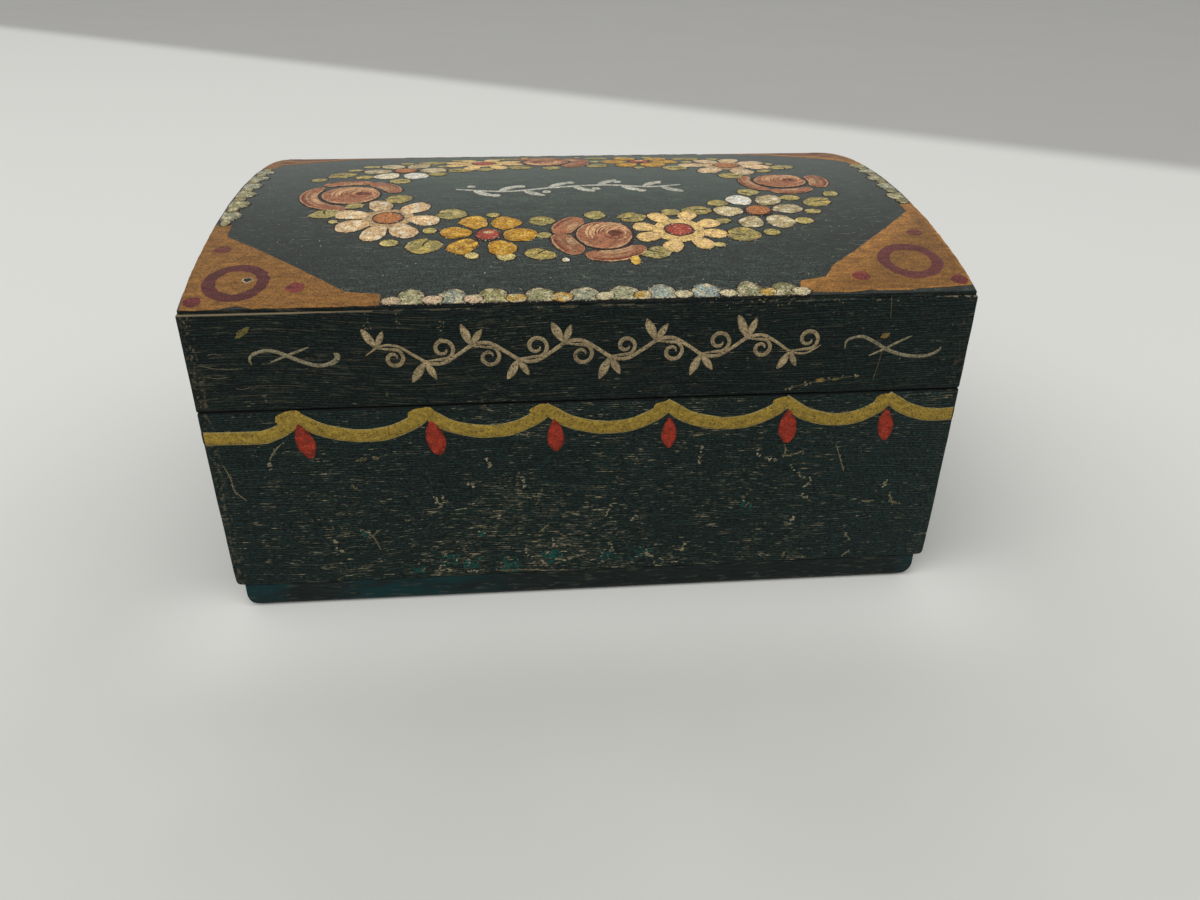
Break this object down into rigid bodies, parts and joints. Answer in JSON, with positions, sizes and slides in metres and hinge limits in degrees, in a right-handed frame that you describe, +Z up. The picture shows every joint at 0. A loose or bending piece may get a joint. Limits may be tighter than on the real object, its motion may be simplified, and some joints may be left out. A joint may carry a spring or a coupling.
{
  "type": "painted jewelry box",
  "caption": "Small rectangular wooden casket with an arched hinged lid, dark green painted boards with folk flower ornament, on a base board with rounded ends; holds jewelry and trinkets.",
  "frame": {"origin": "middle of the base board's underside, where the box stands", "axes": "+X along the width, to the right of someone facing the front; the front faces -Y and the hinges are at +Y; +Z up"},
  "size_m": [0.12, 0.0898, 0.0597],
  "materials": {
    "green_paint": "dark green paint on open-grained wood, satin, worn at the edges",
    "top_paint": "dark green paint on open-grained wood, satin, with painted flowers, beads and corner ornaments",
    "base_paint": "dark teal-green paint on wood, satin",
    "brass": "aged satin brass",
    "iron": "dull dark wire"
  },
  "bodies": {
    "box": {"base_board": "base_paint", "base_brads": "iron", "body_front": "green_paint", "body_back": "green_paint", "body_left_end": "green_paint", "body_right_end": "green_paint", "left_hinge_body_leaf": "brass", "left_hinge_pin": "iron", "left_hinge_body_brads": "brass", "right_hinge_body_leaf": "brass", "right_hinge_pin": "iron", "right_hinge_body_brads": "brass"},
    "lid": {"lid_front": "green_paint", "lid_back": "green_paint", "lid_left_end": "green_paint", "lid_right_end": "green_paint", "lid_top": "top_paint", "left_hinge_lid_leaf": "brass", "left_hinge_lid_brads": "brass", "right_hinge_lid_leaf": "brass", "right_hinge_lid_brads": "brass"}
  },
  "joints": [
    {"name": "lid_hinge", "type": "hinge", "parent": "box", "child": "lid", "pos_m": [0, 0.0444, 0.0375], "axis": [-1, 0, 0], "range_deg": [0, 180]}
  ]
}
